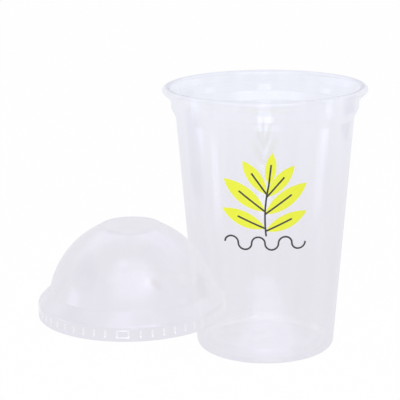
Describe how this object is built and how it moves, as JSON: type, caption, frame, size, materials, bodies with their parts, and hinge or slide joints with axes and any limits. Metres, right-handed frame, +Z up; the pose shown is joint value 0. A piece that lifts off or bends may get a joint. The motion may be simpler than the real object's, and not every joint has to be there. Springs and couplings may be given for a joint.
{
  "type": "plastic cup with lid",
  "caption": "Clear plastic cold drink cup with a rolled rim and a printed leaf sprig, and its dome lid, which is taken off and stands beside it.",
  "frame": {"origin": "centre of the pair's box on the surface that both pieces stand on", "axes": "+Z up along the cup's axis, -Y the side with the print, +X along the pair's longest side, from the lid to the cup"},
  "size_m": [0.1642, 0.1424, 0.125],
  "materials": {
    "clear_plastic": "clear, glossy, very slightly blue grey",
    "green_ink": "yellow-green printing ink",
    "dark_ink": "near-black printing ink"
  },
  "bodies": {
    "root": {"cup": "clear_plastic", "dome_lid": "clear_plastic", "print_leaves": "green_ink", "print_lines": "dark_ink"}
  },
  "joints": []
}
